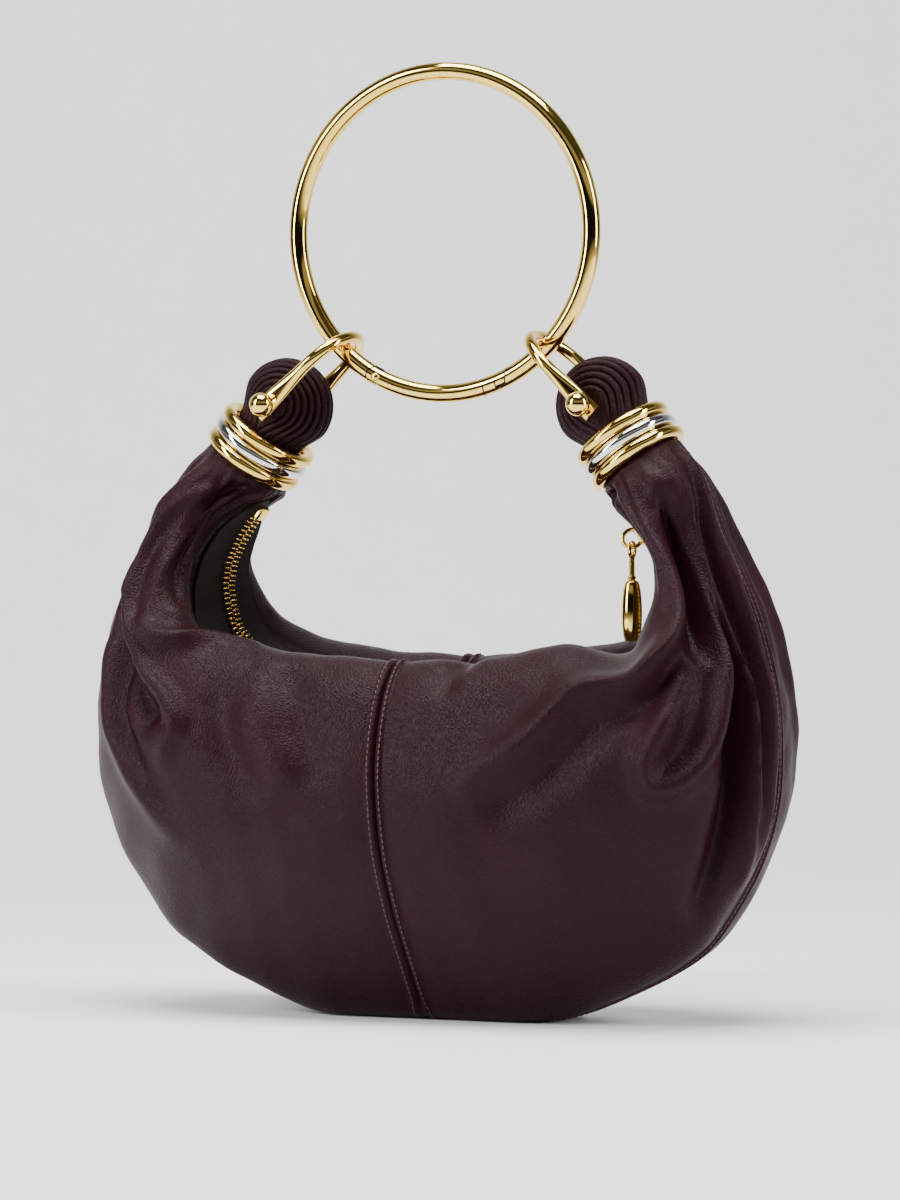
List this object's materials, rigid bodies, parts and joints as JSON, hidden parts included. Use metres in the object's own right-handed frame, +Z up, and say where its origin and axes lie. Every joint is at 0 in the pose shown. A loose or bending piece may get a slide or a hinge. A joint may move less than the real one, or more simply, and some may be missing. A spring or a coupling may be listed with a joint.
{
  "type": "ring handle bag",
  "caption": "Half-moon handbag of gathered leather with a zip, ringed necks and shackles that hold a round metal ring handle with a hinged gate.",
  "frame": {"origin": "middle of the flat bottom, where the bag stands", "axes": "+Z up through the handle ring, +X to the bag's right seen from the front, +Y to the back"},
  "size_m": [0.2606, 0.1136, 0.3367],
  "materials": {
    "leather": "soft satin nappa with fine grain",
    "gold": "polished pale gold plate",
    "silver": "polished silver plate",
    "tape": "woven zip tape"
  },
  "bodies": {
    "bag": {"front_panel_left": "leather", "back_panel_left": "leather", "gathered_loop_left": "leather", "neck_ring_left_upper": "gold", "neck_ring_left_middle": "silver", "neck_ring_left_lower": "gold", "shackle_left": "gold", "shackle_pin_left": "gold", "front_panel_right": "leather", "back_panel_right": "leather", "gathered_loop_right": "leather", "neck_ring_right_upper": "gold", "neck_ring_right_middle": "silver", "neck_ring_right_lower": "gold", "shackle_right": "gold", "shackle_pin_right": "gold", "zip_tape": "tape", "zip_chain": "gold", "zip_end_stop": "gold", "zip_slider": "gold", "zip_pull": "gold"},
    "handle": {"handle_ring": "gold", "gate_pin": "gold"},
    "gate": {"ring_gate": "gold"}
  },
  "joints": [
    {"name": "ring_swing", "type": "hinge", "parent": "bag", "child": "handle", "pos_m": [0, 0, 0.2342], "axis": [1, 0, 0], "range_deg": [-85, 85]},
    {"name": "gate_hinge", "type": "hinge", "parent": "handle", "child": "gate", "pos_m": [-0.02517, 0, 0.22571], "axis": [0, -1, 0], "range_deg": [0, 28], "stiffness_Nm_per_rad": 0.02, "springref_deg": -20.05}
  ]
}
